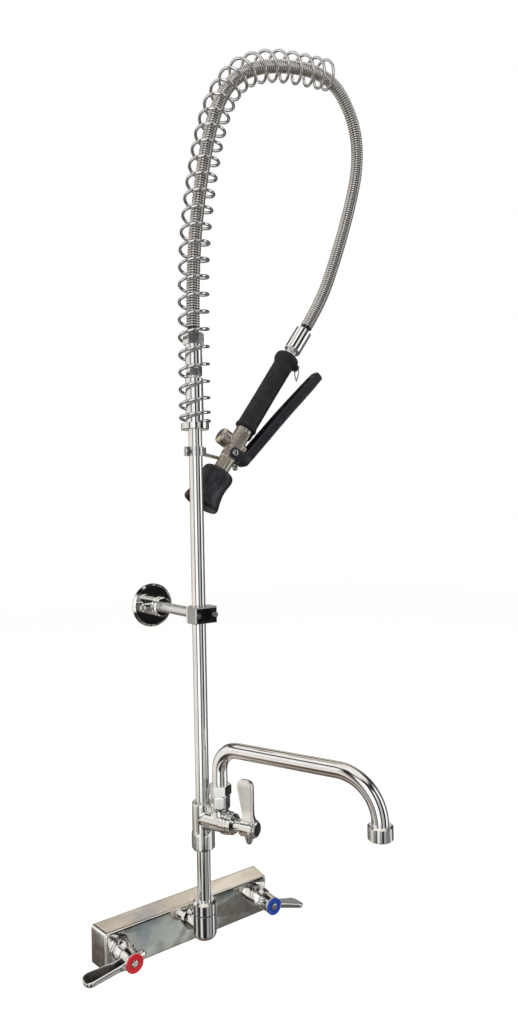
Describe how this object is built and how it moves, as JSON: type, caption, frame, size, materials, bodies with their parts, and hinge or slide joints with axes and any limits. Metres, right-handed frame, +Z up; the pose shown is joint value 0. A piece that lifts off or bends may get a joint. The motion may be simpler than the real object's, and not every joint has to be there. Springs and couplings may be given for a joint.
{
  "type": "pre rinse faucet",
  "caption": "Wall mounted pre rinse faucet with two handles, add-on swing spout, riser with wall bracket, arched spring, ribbed hose and squeeze spray valve.",
  "frame": {"origin": "on the wall plane, midway between the two inlets, at their height", "axes": "+Z up along the riser, -Y from the wall to the user, +X to the user's right"},
  "size_m": [0.442, 0.3619, 1.1816],
  "materials": {
    "polished_chrome": "polished chrome plate",
    "dark_chrome": "polished chrome plate, reflecting dark",
    "brass": "plain machined brass",
    "steel": "bright stainless steel",
    "braided_steel": "ribbed stainless hose",
    "red_plastic": "gloss moulded",
    "blue_plastic": "gloss moulded",
    "black_rubber": "smooth moulded rubber",
    "grip_rubber": "fine textured grip",
    "lever_coat": "black coating, half gloss",
    "black_plastic": "moulded spray disc",
    "grey_plastic": "moulded aerator",
    "white_plastic": "moulded cartridge"
  },
  "bodies": {
    "faucet": {"add_on_body": "polished_chrome", "add_on_bonnet": "polished_chrome", "base_cover": "polished_chrome", "bracket_arm": "polished_chrome", "bracket_clamp": "polished_chrome", "bracket_clamp_block": "dark_chrome", "bracket_clamp_screws": "steel", "bracket_wall_plate": "steel", "bumper": "black_rubber", "flexible_hose": "braided_steel", "grip": "grip_rubber", "grip_core": "brass", "hook_band": "polished_chrome", "hook_bolt": "steel", "hook_finger": "steel", "hose_adapter": "polished_chrome", "hose_ferrule_lower": "polished_chrome", "hose_ferrule_upper": "polished_chrome", "hose_nut": "polished_chrome", "hose_swivel": "brass", "inlet_washers": "black_rubber", "lower_nipple": "polished_chrome", "outlet_elbow": "polished_chrome", "outlet_lock_nut": "polished_chrome", "outlet_seal": "black_rubber", "overhead_spring": "steel", "pivot_pin": "steel", "plunger_spring": "steel", "ring_clip": "grip_rubber", "riser_pipe": "polished_chrome", "spout_nut": "polished_chrome", "spray_bonnet": "polished_chrome", "spray_face": "black_plastic", "spray_valve_body": "polished_chrome", "spring_collar": "polished_chrome", "valve_bonnets": "polished_chrome", "valve_cartridges": "white_plastic", "waterway": "brass"},
    "hot_handle": {"hot_stem": "brass", "hot_lever": "polished_chrome", "hot_index": "red_plastic", "hot_handle_screw": "polished_chrome"},
    "cold_handle": {"cold_stem": "brass", "cold_lever": "polished_chrome", "cold_index": "blue_plastic", "cold_handle_screw": "polished_chrome"},
    "add_on_handle": {"add_on_stem": "brass", "add_on_lever": "polished_chrome", "add_on_handle_screw": "polished_chrome"},
    "spout": {"swing_spout": "polished_chrome", "aerator_shell": "polished_chrome", "aerator_insert": "grey_plastic", "aerator_washer": "black_rubber", "spout_seals": "black_rubber"},
    "trigger": {"squeeze_lever": "lever_coat"},
    "valve_plunger": {"plunger": "brass"},
    "lever_ring": {"hold_down_ring": "steel"},
    "bracket_cover": {"bracket_flange": "polished_chrome", "bracket_set_screw": "steel"}
  },
  "joints": [
    {"name": "hot_turn", "type": "hinge", "parent": "faucet", "child": "hot_handle", "pos_m": [-0.1016, -0.05, 0], "axis": [0, 1, 0], "range_deg": [0, 90]},
    {"name": "cold_turn", "type": "hinge", "parent": "faucet", "child": "cold_handle", "pos_m": [0.1016, -0.05, 0], "axis": [0, -1, 0], "range_deg": [0, 90]},
    {"name": "add_on_turn", "type": "hinge", "parent": "faucet", "child": "add_on_handle", "pos_m": [0.01262, -0.09725, 0.1426], "axis": [0.3746, -0.9272, 0], "range_deg": [0, 90]},
    {"name": "spout_swivel", "type": "hinge", "parent": "faucet", "child": "spout", "pos_m": [0.01023, -0.09131, 0.176], "axis": [0, 0, 1], "range_deg": [-85, 85]},
    {"name": "squeeze", "type": "hinge", "parent": "faucet", "child": "trigger", "pos_m": [0.06914, -0.04326, 0.60213], "axis": [-0.1219, -0.9925, 0], "range_deg": [0, 7], "stiffness_Nm_per_rad": 6, "springref_deg": -8.59},
    {"name": "plunger_push", "type": "slide", "parent": "faucet", "child": "valve_plunger", "axis": [-0.8199, 0.1007, 0.5635], "range_m": [0, 0.0018], "deforming": ["plunger_spring"]},
    {"name": "ring_swing", "type": "hinge", "parent": "faucet", "child": "lever_ring", "pos_m": [0.17394, -0.05613, 0.72427], "axis": [-0.1219, -0.9925, 0], "range_deg": [-30, 150]},
    {"name": "bracket_cover_slide", "type": "slide", "parent": "faucet", "child": "bracket_cover", "axis": [0, -1, 0], "range_m": [0, 0.045]}
  ],
  "couplings": [
    {"joint": "plunger_push", "follows": "squeeze", "m_per_rad": 0.0147}
  ]
}
